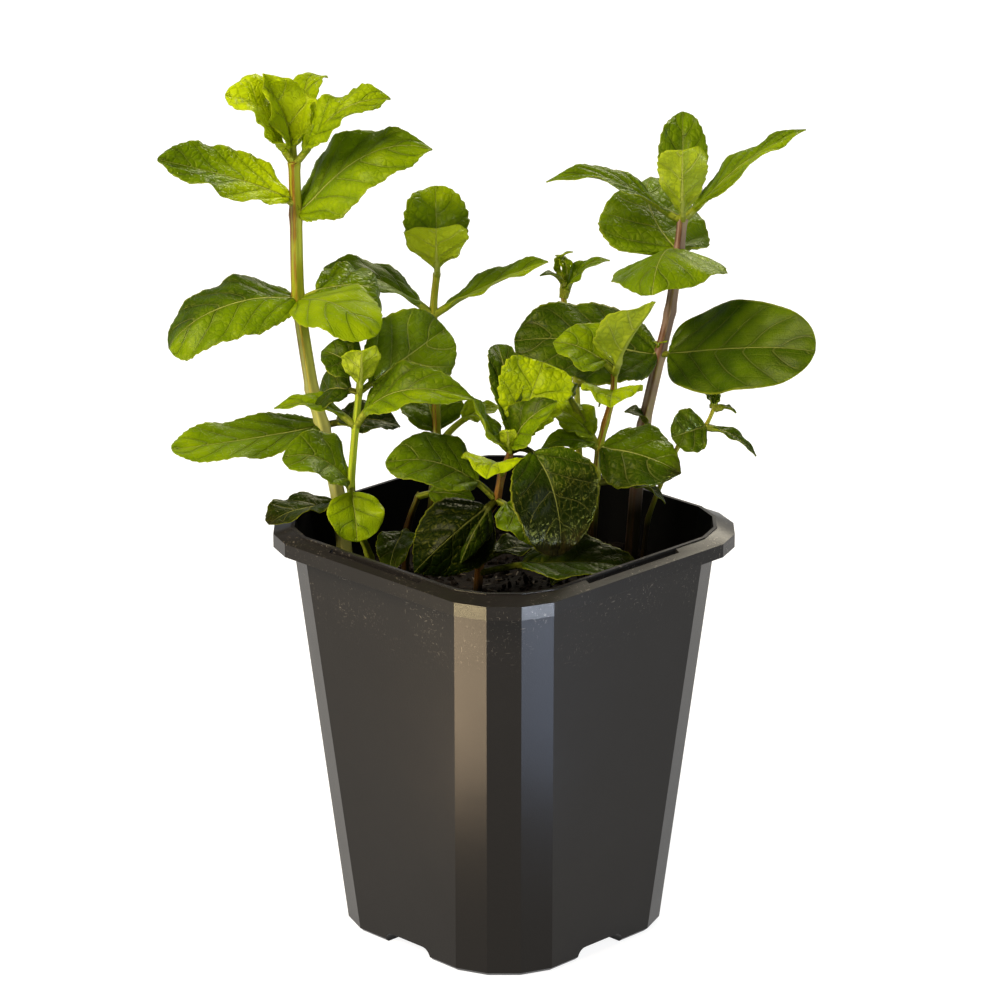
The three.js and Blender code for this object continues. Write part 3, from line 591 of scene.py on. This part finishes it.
def leaf_material():
    """Fresh mint leaf: glossy green cuticle above, matt pale green beneath, lit through from behind."""
    made, tree, shader = material("mint_leaf")
    look = {}
    for name in ("leaf_mm", "veins", "shade", "habit", "relief"):
        look[name] = node(tree, "ShaderNodeAttribute", {"attribute_name": name}).outputs["Vector"]
    side, distance, u = node(tree, "ShaderNodeSeparateXYZ", Vector=look["veins"]).outputs
    tone, inward, past_stalk = node(tree, "ShaderNodeSeparateXYZ", Vector=look["shade"]).outputs
    contrast, gloss, brown = node(tree, "ShaderNodeSeparateXYZ", Vector=look["habit"]).outputs
    dome, under, pucker = node(tree, "ShaderNodeSeparateXYZ", Vector=look["relief"]).outputs
    # The kinds of node that come up again and again, and their settings
    maths, fade, blend, noise = "ShaderNodeMath", "ShaderNodeMapRange", "ShaderNodeMix", "ShaderNodeTexNoise"
    add, times, times_add = {"operation": "ADD"}, {"operation": "MULTIPLY"}, {"operation": "MULTIPLY_ADD"}
    larger, colours = {"operation": "MAXIMUM"}, {"data_type": "RGBA"}

    # Broad patches of lighter and darker green, 8 mm across, and painted shade on the quilting: cells lighter
    # in the middle and darker along the sunken veins round them
    cloud = node(tree, noise, i0=look["leaf_mm"], Scale=1 / GREEN_PATCH, Detail=3.0).outputs["Fac"]
    cloud = node(tree, fade, i0=cloud, i1=0.3, i2=0.7, i3=-0.08, i4=0.08).outputs[0]
    tone = node(tree, maths, add, i0=tone, i1=cloud).outputs[0]
    dome_shade = node(tree, fade, i0=dome, i1=0.2, i2=0.9, i3=-0.05, i4=0.03).outputs[0]
    tone = node(tree, maths, add, i0=tone, i1=dome_shade).outputs[0]
    net = node(tree, "ShaderNodeTexVoronoi", {"feature": "DISTANCE_TO_EDGE"}, Vector=look["leaf_mm"],
               Scale=1 / QUILT_CELL).outputs["Distance"]
    cells = node(tree, fade, i0=net, i1=0.0, i2=0.3).outputs[0]
    quilted = node(tree, fade, i0=pucker, i1=0.4, i2=1.3).outputs[0]
    blister = node(tree, maths, times, i0=cells, i1=quilted).outputs[0]
    blister_shade = node(tree, fade, i0=blister, i3=-0.02, i4=0.04).outputs[0]
    tone = node(tree, maths, add, i0=tone, i1=blister_shade).outputs[0]
    greens = []
    for stops in (LEAF_TONES, LIGHT_TONES):
        ramp = node(tree, "ShaderNodeValToRGB", i0=tone)
        for position, shade in stops[1:-1]:
            ramp.color_ramp.elements.new(position).color = linear(shade)
        ramp.color_ramp.elements[0].color = linear(stops[0][1])
        ramp.color_ramp.elements[-1].color = linear(stops[-1][1])
        greens.append(ramp.outputs[0])
    green, glow = greens
    # The midrib narrows towards the tip; the side veins are finer and fade at the margin
    rib_width = node(tree, fade, i0=u, i3=0.3, i4=0.06).outputs[0]
    rib = node(tree, maths, {"operation": "DIVIDE"}, i0=distance, i1=rib_width).outputs[0]
    rib = node(tree, fade, i0=rib, i1=1.5, i2=0.5).outputs[0]
    line = node(tree, maths, {"operation": "FRACT"}, i0=side).outputs[0]
    line = node(tree, maths, {"operation": "PINGPONG"}, i0=line, i1=0.5).outputs[0]
    line = node(tree, fade, i0=line, i1=0.055, i2=0.012).outputs[0]
    share = node(tree, fade, i0=inward, i1=0.08, i2=0.5, i3=0.2, i4=0.8).outputs[0]
    line = node(tree, maths, times, i0=line, i1=share).outputs[0]
    # The smallest veins cross between them and run round the cells
    pair = node(tree, maths, {"operation": "FLOOR"}, i0=side).outputs[0]
    across = node(tree, maths, {"operation": "DIVIDE"}, i0=distance, i1=CELL_LENGTH).outputs[0]
    across = node(tree, maths, times_add, i0=pair, i1=0.37, i2=across).outputs[0]
    across = node(tree, maths, {"operation": "FRACT"}, i0=across).outputs[0]
    cross = node(tree, maths, {"operation": "PINGPONG"}, i0=across, i1=0.5).outputs[0]
    cross = node(tree, fade, i0=cross, i1=0.07, i2=0.02).outputs[0]
    cross = node(tree, maths, times, i0=cross, i1=0.5).outputs[0]
    meshes = node(tree, fade, i0=net, i1=0.05, i2=0.0, i4=0.6).outputs[0]
    small = node(tree, maths, larger, i0=cross, i1=meshes).outputs[0]
    deep = node(tree, maths, times, i0=line, i1=0.8).outputs[0]
    main = node(tree, maths, larger, i0=rib, i1=deep).outputs[0]
    pale_line = node(tree, maths, times, i0=line, i1=0.5).outputs[0]
    pale_small = node(tree, maths, times, i0=small, i1=0.15).outputs[0]
    lines = node(tree, maths, larger, i0=pale_line, i1=pale_small).outputs[0]
    lines = node(tree, maths, times, i0=lines, i1=contrast).outputs[0]
    share = node(tree, fade, i0=contrast, i1=0.0, i2=0.5, i3=0.1, i4=0.75).outputs[0]
    pale_rib = node(tree, maths, times, i0=rib, i1=share).outputs[0]
    lines = node(tree, maths, larger, i0=lines, i1=pale_rib).outputs[0]
    top = node(tree, blend, colours, i0=lines, i6=green, i7=linear(VEIN_PALE)).outputs[2]
    # Beneath, the blade is paler and its veins stand out
    share = node(tree, fade, i0=contrast, i3=0.3, i4=0.9).outputs[0]
    raised = node(tree, maths, times, i0=main, i1=share).outputs[0]
    beneath = node(tree, blend, colours, i0=0.4, i6=green, i7=linear(LEAF_UNDER)).outputs[2]
    beneath = node(tree, blend, colours, i0=raised, i6=beneath, i7=linear(VEIN_PALE)).outputs[2]
    colour = node(tree, blend, colours, i0=under, i6=top, i7=beneath).outputs[2]
    # The margin is painted a paler yellow green, a painted glow of light shining through its thin edge
    margin = node(tree, fade, i0=inward, i1=0.05, i2=0.0, i4=0.5).outputs[0]
    colour = node(tree, blend, colours, i0=margin, i6=colour, i7=linear(MARGIN_GLOW)).outputs[2]
    # The stalk of a darker leaf is painted darker too, as painted shade
    sunlit = node(tree, fade, i0=tone, i1=0.1, i2=0.55).outputs[0]
    stalk = node(tree, blend, colours, i0=sunlit, i6=linear(STALK_SHADE), i7=linear(STALK_LIME)).outputs[2]
    on_stalk = node(tree, fade, i0=past_stalk, i1=1.0, i2=0.9).outputs[0]
    colour = node(tree, blend, colours, i0=on_stalk, i6=colour, i7=stalk).outputs[2]
    colour = node(tree, blend, colours, i0=brown, i6=colour, i7=linear(SCORCHED)).outputs[2]
    tree.links.new(colour, shader.inputs["Base Color"])
    # The waxy top is glossier than the underside
    rough = node(tree, fade, i0=under, i3=0.44, i4=0.62).outputs[0]
    rough = node(tree, maths, times_add, i0=gloss, i1=-0.16, i2=rough).outputs[0]
    tree.links.new(rough, shader.inputs["Roughness"])
    shader.inputs["Specular IOR Level"].default_value = 0.22
    shader.inputs["Specular Tint"].default_value = linear(SHEEN)
    shader.inputs["Coat Weight"].default_value = 0.06
    shader.inputs["Coat Roughness"].default_value = 0.2
    shader.inputs["Coat Tint"].default_value = linear(SHEEN)
    # Fine relief: the veins are sunken and the skin is blistered between the smallest of them
    fine = node(tree, noise, i0=look["leaf_mm"], Scale=1 / SKIN_GRAIN, Detail=3.0).outputs["Fac"]
    relief = node(tree, maths, times, i0=blister, i1=0.6).outputs[0]
    relief = node(tree, maths, times_add, i0=fine, i1=0.35, i2=relief).outputs[0]
    relief = node(tree, maths, times_add, i0=small, i1=-0.2, i2=relief).outputs[0]
    relief = node(tree, maths, times_add, i0=main, i1=-1.0, i2=relief).outputs[0]
    bump = node(tree, "ShaderNodeBump", Height=relief, Strength=1.0, Distance=0.5 * MM).outputs[0]
    tree.links.new(bump, shader.inputs["Normal"])
    # Light comes through the blade in a warmer green, and less through its veins
    shaded = node(tree, maths, times, i0=lines, i1=0.25).outputs[0]
    glow = node(tree, blend, colours, i0=shaded, i6=glow, i7=green).outputs[2]
    through = node(tree, "ShaderNodeBsdfTranslucent", Color=glow, Normal=bump).outputs[0]
    both = node(tree, "ShaderNodeMixShader", i0=0.4, i1=shader.outputs[0], i2=through).outputs[0]
    tree.links.new(both, tree.nodes["Material Output"].inputs["Surface"])
    return made


def stem_material(name, flats, edges, blotch, foot, foot_low, foot_high):
    """Mint stem: smooth green skin, flushed brown along the corners, that turns to the foot's colour: cream
    on one stem, painted shade on the rest.
    """
    made, tree, shader = material(name)
    found = node(tree, "ShaderNodeAttribute", {"attribute_name": "stem_look"}).outputs["Vector"]
    look = node(tree, "ShaderNodeSeparateXYZ", Vector=found).outputs
    place = node(tree, "ShaderNodeTexCoord").outputs["Object"]
    stretched = node(tree, "ShaderNodeMapping", Vector=place, Scale=(1, 1, 0.12)).outputs[0]
    streak = node(tree, "ShaderNodeTexNoise", i0=stretched, Scale=1 / STEM_STREAK, Detail=3.0).outputs["Fac"]
    flush = node(tree, "ShaderNodeTexNoise", i0=place, Scale=1 / STEM_FLUSH, Detail=2.0).outputs["Fac"]
    corner = node(tree, "ShaderNodeMath", {"operation": "MULTIPLY"}, i0=look["X"], i1=4.0).outputs[0]
    corner = node(tree, "ShaderNodeMath", {"operation": "PINGPONG"}, i0=corner, i1=0.5).outputs[0]
    red = node(tree, "ShaderNodeMath", {"operation": "MULTIPLY_ADD"}, i0=corner, i1=0.9, i2=flush).outputs[0]
    red = node(tree, "ShaderNodeMath", {"operation": "MULTIPLY_ADD"}, i0=streak, i1=0.35, i2=red).outputs[0]
    # The side that has grown towards the sun is the browner one
    around = node(tree, "ShaderNodeMath", {"operation": "MULTIPLY_ADD"}, i0=look["X"], i1=2 * math.pi,
                  i2=STEM_TURN - SUNNY_SIDE).outputs[0]
    sunny = node(tree, "ShaderNodeMath", {"operation": "COSINE"}, i0=around).outputs[0]
    red = node(tree, "ShaderNodeMath", {"operation": "MULTIPLY_ADD"}, i0=sunny, i1=0.22, i2=red).outputs[0]
    red = node(tree, "ShaderNodeMapRange", i0=red, i1=1.05 - blotch, i2=1.35 - blotch).outputs[0]
    # Towards the soil the brown fades and the skin turns to the foot colour, painted shade where it is near
    # black
    height = node(tree, "ShaderNodeSeparateXYZ", Vector=place).outputs["Z"]
    upper = node(tree, "ShaderNodeMapRange", i0=height, i1=foot_low * MM, i2=foot_high * MM).outputs[0]
    skin = node(tree, "ShaderNodeMix", {"data_type": "RGBA"}, i0=upper, i6=linear(foot),
                i7=linear(flats)).outputs[2]
    share = node(tree, "ShaderNodeMapRange", i0=upper, i3=0.15).outputs[0]
    red = node(tree, "ShaderNodeMath", {"operation": "MULTIPLY"}, i0=red, i1=share).outputs[0]
    colour = node(tree, "ShaderNodeMix", {"data_type": "RGBA"}, i0=red, i6=skin, i7=linear(edges)).outputs[2]
    tree.links.new(colour, shader.inputs["Base Color"])
    shader.inputs["Roughness"].default_value = 0.45
    shader.inputs["Specular IOR Level"].default_value = 0.25
    shader.inputs["Specular Tint"].default_value = linear(SHEEN)
    shader.inputs["Subsurface Weight"].default_value = 0.15
    shader.inputs["Subsurface Radius"].default_value = (1.0, 0.8, 0.3)
    shader.inputs["Subsurface Scale"].default_value = 0.8 * MM
    bump = node(tree, "ShaderNodeBump", Height=streak, Strength=0.3, Distance=0.15 * MM).outputs[0]
    tree.links.new(bump, shader.inputs["Normal"])
    return made


def set_vectors(data, name, values):
    """Stores a vector at each point of a mesh for its finish to read."""
    made = data.attributes.new(name, "FLOAT_VECTOR", "POINT")
    made.data.foreach_set("vector", np.ascontiguousarray(values, dtype=np.float32).ravel())


def grow(name, stem, thick, skin, rows):
    """A shoot's stem and its leaves, turned to face the front, each as one piece."""
    turn = np.array([[math.cos(FRONT_TURN), -math.sin(FRONT_TURN), 0],
                     [math.sin(FRONT_TURN), math.cos(FRONT_TURN), 0], [0, 0, 1]])
    points, faces, look = stem_solid(stem, thick)
    wood = mesh_object(name + "_stem", points @ turn.T * MM, faces, skin)
    set_vectors(wood.data, "stem_look", look)
    all_points, all_faces, all_looks, count = [], [], [], 0
    for i, row in enumerate(rows):
        points, faces, looks = leaf_solid(row, stem_point(stem, row["joint"]), i + 13 * len(name))
        all_points.append(points)
        all_faces.append(faces + count)
        all_looks.append(looks)
        count += len(points)
    points = np.concatenate(all_points) @ turn.T * MM
    faces = np.concatenate(all_faces).tolist()
    blades = mesh_object(name + "_leaves", points, faces, mint_leaf)
    for key in all_looks[0]:
        set_vectors(blades.data, key, np.concatenate([looks[key] for looks in all_looks]))
    for piece, slot in ((wood, "mint_stem"), (blades, "mint_leaf")):
        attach(piece, "root")
        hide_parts(name)


mint_leaf = leaf_material()
brown_stem = stem_material("mint_stem_brown", STEM_OLIVE, STEM_BROWN, 0.1, STEM_CREAM, 138, 166)
grow(
    "shoot_left_tall",
    [(-42, 13, 82), (-44, 12, 113), (-48.5, 10, 137), (-51, 9, 147), (-54.3, 7, 172.5), (-54.6, 6, 196),
     (-54.8, 5, 210.5)],
    4.5,
    brown_stem,
    [
        leaf(1.08, -145, -3, 22.5, 13, -5, arch=1, stalk=2, outline="broad", tone=0.1, veins=0.6, brown=0.6,
             pucker=0.6),
        leaf(2, -166, -5, 41, 16, -25, arch=-0.5, fold=4, stalk=1, outline="broad", tone=0.66, base=-0.35,
             pucker=0.5, curl=0),
        leaf(2, 18, -5, 22, 12, 25, arch=2, tone=0.1),
        leaf(4, -165, -15, 36.5, 22, -28, arch=5.5, sweep=2, fold=-12, stalk=1, outline="broad", tone=0.45,
             half=-0.3, crinkle=0.8),
        leaf(4, -45, -5, 29.7, 20, 20, arch=4.5, fold=-8, outline="round", stalk=0.5, tone=0.72,
             veins=0.15, pucker=0.35, curl=10),
        leaf(4, 10, 4, 24.2, 20, 30, arch=4, stalk=5, outline="round", fold=-10, tone=0.58, crinkle=1,
             pucker=1.3, gloss=1.5, curl=110),
        leaf(5, -170, 25, 39.8, 18.5, -30, arch=4, sweep=1, peak=0.25, outline="round", tone=0.45,
             base=0.65, crinkle=1, gloss=1.4, pucker=0.9, curl=0),
        leaf(5, -5, 29, 40.5, 22.5, 40, arch=5.3, sweep=-3, peak=0.58, fold=-6, stalk=1, wave=1.4,
             tone=0.6, half=0.1, crinkle=0.9, veins=0.6),
        leaf(6, -160, 57, 28, 18, -30, arch=0, outline="spoon", wave=1.3, curl=75, tone=1.1, crinkle=1.2,
             pucker=1.3, gloss=1.1, teeth=1.3),
        leaf(6, 180, 72, 25.2, 18, -50, arch=-2, sweep=3, fold=38, wave=1.3, curl=0, tone=1.0, veins=1,
             crinkle=0.8, teeth=1.2),
        leaf(6, 61, 57, 27, 11, 0, sweep=-2, tone=0.85, veins=0.7, curl=60, crinkle=0.8, teeth=1.2),
        leaf(6, -5, 38, 31, 13, 30, arch=4.5, peak=0.6, outline="oval", wave=1.3, curl=25, tone=0.72,
             crinkle=1, pucker=1, teeth=1.2),
    ],
)


# Left front shoot. Thinner and younger than the one behind it, on a pale green stem, with a round
# lime leaf hanging in front and a broad dark one spread to the right.
green_stem = stem_material("mint_stem_green", STEM_GREEN, STEM_OLIVE, 0.1, STEM_SHADED, 98, 112)
grow(
    "shoot_left_front",
    [(-33, 6, 82), (-36, 4, 102), (-39.5, -3, 114), (-40.5, -6, 125), (-39, -9, 143), (-38, -10, 152.5),
     (-37.5, -11, 158)],
    2.5,
    green_stem,
    [
        leaf(3, -161, 29, 21, 17.5, -35, stalk=1.5, sweep=2.5, outline="round", tone=0.55, veins=0.8),
        leaf(3, -79, -49, 15.5, 15.5, 0, outline="round", stalk=2, arch=1, tone=0.7, veins=0.3,
             pucker=0.3, teeth=0.3),
        leaf(4, -175, 14, 22, 9, -12, arch=4, outline="long", tone=0.6, curl=0),
        leaf(4, -21, 19, 35, 17, 32, arch=8.5, stalk=5.5, tone=0.55, half=0.2, curl=5),
        leaf(5, -82, 64, 15.5, 10.5, 0, arch=-1.5, outline="fan", tone=0.95),
        leaf(5, 31, 27, 30, 24, 58, outline="round", arch=2, tone=0.5, veins=0.9),
        leaf(5, 150, -15, 13, 15, -40, stalk=2, tone=0.25),
        leaf(6, 160, 25, 12, 12, -45, stalk=1, tone=0.35),
    ],
)


# Low inner shoot. A short stub, painted near black as shade, that stands just above the soil near the
# middle of the pot, with two small leaves in the shade of the rest.
shaded_foot_stem = stem_material("mint_stem_shaded_foot", STEM_OLIVE, STEM_BROWN, 0.25, STEM_SHADED, 112, 132)
grow(
    "shoot_low_inner",
    [(-27, 8, 82), (-26, 8, 108), (-23, 7, 118)],
    2.4,
    shaded_foot_stem,
    [
        leaf(1, -105, -18, 19, 11, 0, tone=0.15),
        leaf(2, -15, 3, 15.5, 9, 45, tone=0.55),
    ],
)


# Middle back shoot. Its olive stem stands upright behind the middle of the pot and ends in a pair of
# round cupped leaves above two long ones.
olive_stem = stem_material("mint_stem_olive", STEM_OLIVE, STEM_BROWN, 0.0, STEM_SHADED, 110, 130)
grow(
    "shoot_middle_back",
    [(-22, 18, 82), (-19, 20, 115), (-18, 22, 127), (-19, 26, 163), (-18, 27, 174.2)],
    2.7,
    olive_stem,
    [
        leaf(2, 110, 40, 18, 18, 0, tone=0.45),
        leaf(2, 10, 33, 20, 9, 20, stalk=10, tone=0.75),
        leaf(3, 180, 25, 32, 13, -15, stalk=5, outline="round", tone=0.5, half=-0.2, pucker=0.4, curl=10),
        leaf(3, 4, 24.5, 34, 12, 5, arch=1.5, outline="oval", tone=0.64, half=0.2, pucker=0.5, curl=0),
        leaf(4, 92, 58, 24.8, 18, 0, outline="round", arch=1, tone=0.78, base=-0.7, veins=0.2,
             crinkle=0.7, pucker=1, teeth=1.1),
        leaf(4, -90, 57, 19, 17.5, 0, arch=-2, outline="fan", tone=1.05, veins=0.9),
    ],
)


# Small back shoot. A thin olive one at the back of the pot, whose four small top leaves stand open like
# a star.
grow(
    "shoot_small_back",
    [(22, 30, 82), (20, 32, 132), (19.5, 32, 142), (16, 32, 166), (16, 32, 171)],
    1.9,
    olive_stem,
    [
        leaf(3, -154, 47, 10, 5, 0, stalk=2, tone=0.55),
        leaf(3, 9, 40, 16, 7, 10, stalk=2, tone=0.55),
        leaf(4, 125, 60, 7, 4, 0, stalk=1, tone=0.65),
        leaf(4, -25, 74, 8.5, 4, 0, stalk=1, tone=0.65),
        leaf(2, -17, -42, 9, 3, 0, tone=0.3),
    ],
)


# Middle right shoot. Its thin stem is brown, painted black at the foot as painted shade, with a glossy leaf
# low on its right and a bright top whose leaf shows its paler side.
grow(
    "shoot_middle_right",
    [(22, 0, 82), (24.4, -2, 125), (25.2, -3, 135), (26.8, -3, 142), (28.7, -4, 150), (29, -4, 156.2)],
    2.4,
    shaded_foot_stem,
    [
        leaf(1, 8, -18, 20, 8, 10, tone=0.08),
        leaf(2, -24, -8, 23.5, 21.5, 35, arch=2, fold=-8, stalk=1, tone=0.38, half=-0.25, gloss=1.3,
             brown=0.8, curl=20),
        leaf(2, 150, 32, 17.5, 11, -25, stalk=3, tone=0.75),
        leaf(2, 150, 55, 22, 8, 0, stalk=15, arch=0, tone=0.4),
        leaf(4, -94, 6, 14, 16.5, 0, stalk=2, arch=2, tone=0.8, veins=0.3),
        leaf(5, -45, 57, 26.5, 18, -8, arch=-1, sweep=3, fold=38, tone=0.72, curl=0),
        leaf(5, 180, 28, 18, 17, -35, tone=0.66),
        leaf(0.4, -130, 5, 16, 10, 0, tone=0.08),
        leaf(2, -170, 4, 15.5, 8.5, -28, stalk=2, tone=0.6),
    ],
)


# Right tall shoot. A stout purple-brown stem with the largest leaf spread flat to the right, two buds
# at the same joint, and a top of long narrow leaves round two broad ones.
STEM_MAUVE = "#8d7668"
STEM_PURPLE = "#5a3c30"

purple_stem = stem_material("mint_stem_purple", STEM_MAUVE, STEM_PURPLE, 0.15, STEM_SHADED, 112, 134)
grow(
    "shoot_right_tall",
    [(33, 12, 82), (36.3, 12, 129), (37.4, 12, 137), (41.4, 12, 156), (44, 12, 168), (46.1, 12, 184.5),
     (47, 12, 193.5)],
    3.8,
    purple_stem,
    [
        leaf(1.6, -138, 52, 10, 7, -30, stalk=2, tone=0.25),
        leaf(3, -177, 8, 39, 25, -42, outline="broad", arch=2, fold=0, stalk=1, tone=0.3, crinkle=0.7),
        leaf(3, -34, 12, 47.7, 27, 50, outline="broad", arch=2, stalk=3.5, fold=4, tone=0.34, veins=0.35,
             pucker=0.35, crinkle=0.25, teeth=0.1),
        leaf(5, 105, 30, 29.5, 30, 0, outline="heart", stalk=1, sweep=-4.5, fold=-14, arch=2, tone=0.5,
             crinkle=0.6),
        leaf(5, -107, -7, 27, 34, 8, arch=5, stalk=1, fold=-23, tone=0.6, half=-0.1),
        leaf(6, -177, 17, 37.5, 12, -8, arch=5, peak=0.62, outline="long", tone=0.5, curl=5),
        leaf(6, 4, 37, 40, 13, 8, arch=2.5, peak=0.6, fold=4, tone=0.6, half=0.15, curl=5),
        leaf(6, 89, 61, 29.5, 13.5, 0, arch=2, outline="oval", tone=0.52, veins=0.3),
        leaf(6, -93, 59, 27, 13.5, 0, arch=-3, outline="fan", tone=0.8, veins=0.9),
        leaf(3, -40, 62, 5, 3.2, 0, stalk=1.5, arch=1, tone=0.7),
        leaf(3, 160, 68, 4, 2.6, 0, stalk=1.5, arch=1, tone=0.5),
    ],
)


# Centre shoot. Orange-brown stem near the middle of the pot, with a big blistered leaf hanging to the
# right, a pale young crown, and old dark leaves lying low over the soil, darkened partly as painted shade.
STEM_AMBER = "#80582a"
STEM_RUSSET = "#5c3c1c"

amber_stem = stem_material("mint_stem_amber", STEM_AMBER, STEM_RUSSET, 0.1, STEM_SHADED, 97, 106)
grow(
    "shoot_centre",
    [(-8, -6, 82), (-5.5, -9, 115), (-2, -11, 123), (-0.5, -12, 131), (1.2, -13.5, 135.5), (1.7, -14, 138)],
    2.5,
    amber_stem,
    [
        leaf(2, -168, 24, 32, 17, -45, outline="round", stalk=7, sweep=3, tone=0.47, veins=0.6, teeth=0.5),
        leaf(2, -44, -26, 19, 16, 20, tone=0.5),
        leaf(2, -152, -33, 29, 24, -50, arch=5, fold=-30, tone=-0.1, veins=0.05, pucker=0.9),
        leaf(2, -128, -40, 20, 9, -20, fold=-40, tone=0.12, veins=0.05),
        leaf(3, -104, 15, 17, 18, 0, tone=0.95, veins=0.3),
        leaf(5, -53, -46, 31.5, 25, 20, outline="round", arch=7, stalk=5, sweep=-4, peak=0.35, tone=-0.25,
             base=0.65, half=-0.1, crinkle=0.4, pucker=0.7, gloss=1.6, veins=0.3, brown=0.9),
        leaf(5, 39, 63, 24.5, 20, 50, arch=0, outline="fan", stalk=2, tone=0.86, veins=0.3, crinkle=1,
             pucker=1.1, teeth=1.2),
        leaf(5, 103, 62, 29.5, 9, 0, outline="spoon", tone=0.3, curl=40),
        leaf(5, -160, 58, 19, 9, -30, stalk=1, arch=-2, tone=0.75, half=-0.3),
        leaf(5, -10, 50, 18.5, 13, 45, stalk=1, tone=0.5, half=0.3),
        leaf(0.6, -10, 5, 44, 18, 20, stalk=12, tone=0.12, half=0.2, veins=0.05, brown=0.7),
        leaf(0.7, 30, -5, 20, 10, 10, tone=0.08),
        leaf(5, -100, 60, 8, 5, 0, stalk=0.5, arch=-1, outline="fan", tone=1.0),
    ],
)


# Low right shoot. A thin trailing one with a heart-shaped leaf, a narrow drooping one and a small
# new top.
grow(
    "shoot_low_right",
    [(36, 6, 82), (38.5, 6, 112), (46.5, 4, 133.5), (53.2, 0, 140), (55.5, 0, 145)],
    1.5,
    olive_stem,
    [
        leaf(3, -158, -12, 9.8, 12.5, -62, outline="round", stalk=0.4, arch=1, tone=0.38, veins=0.9, curl=0),
        leaf(3, 8, -33, 16.5, 5, 20, arch=2, outline="long", stalk=2, tone=0.35, brown=0.5, curl=0),
        leaf(4, 150, 50, 5.5, 4, 0, stalk=1, arch=1, tone=0.45),
        leaf(4, -10, -8, 6, 2.5, 0, stalk=2, arch=1, tone=0.4),
        leaf(4, 60, 55, 4.5, 3.5, 0, stalk=1, arch=1, tone=0.5),
    ],
)
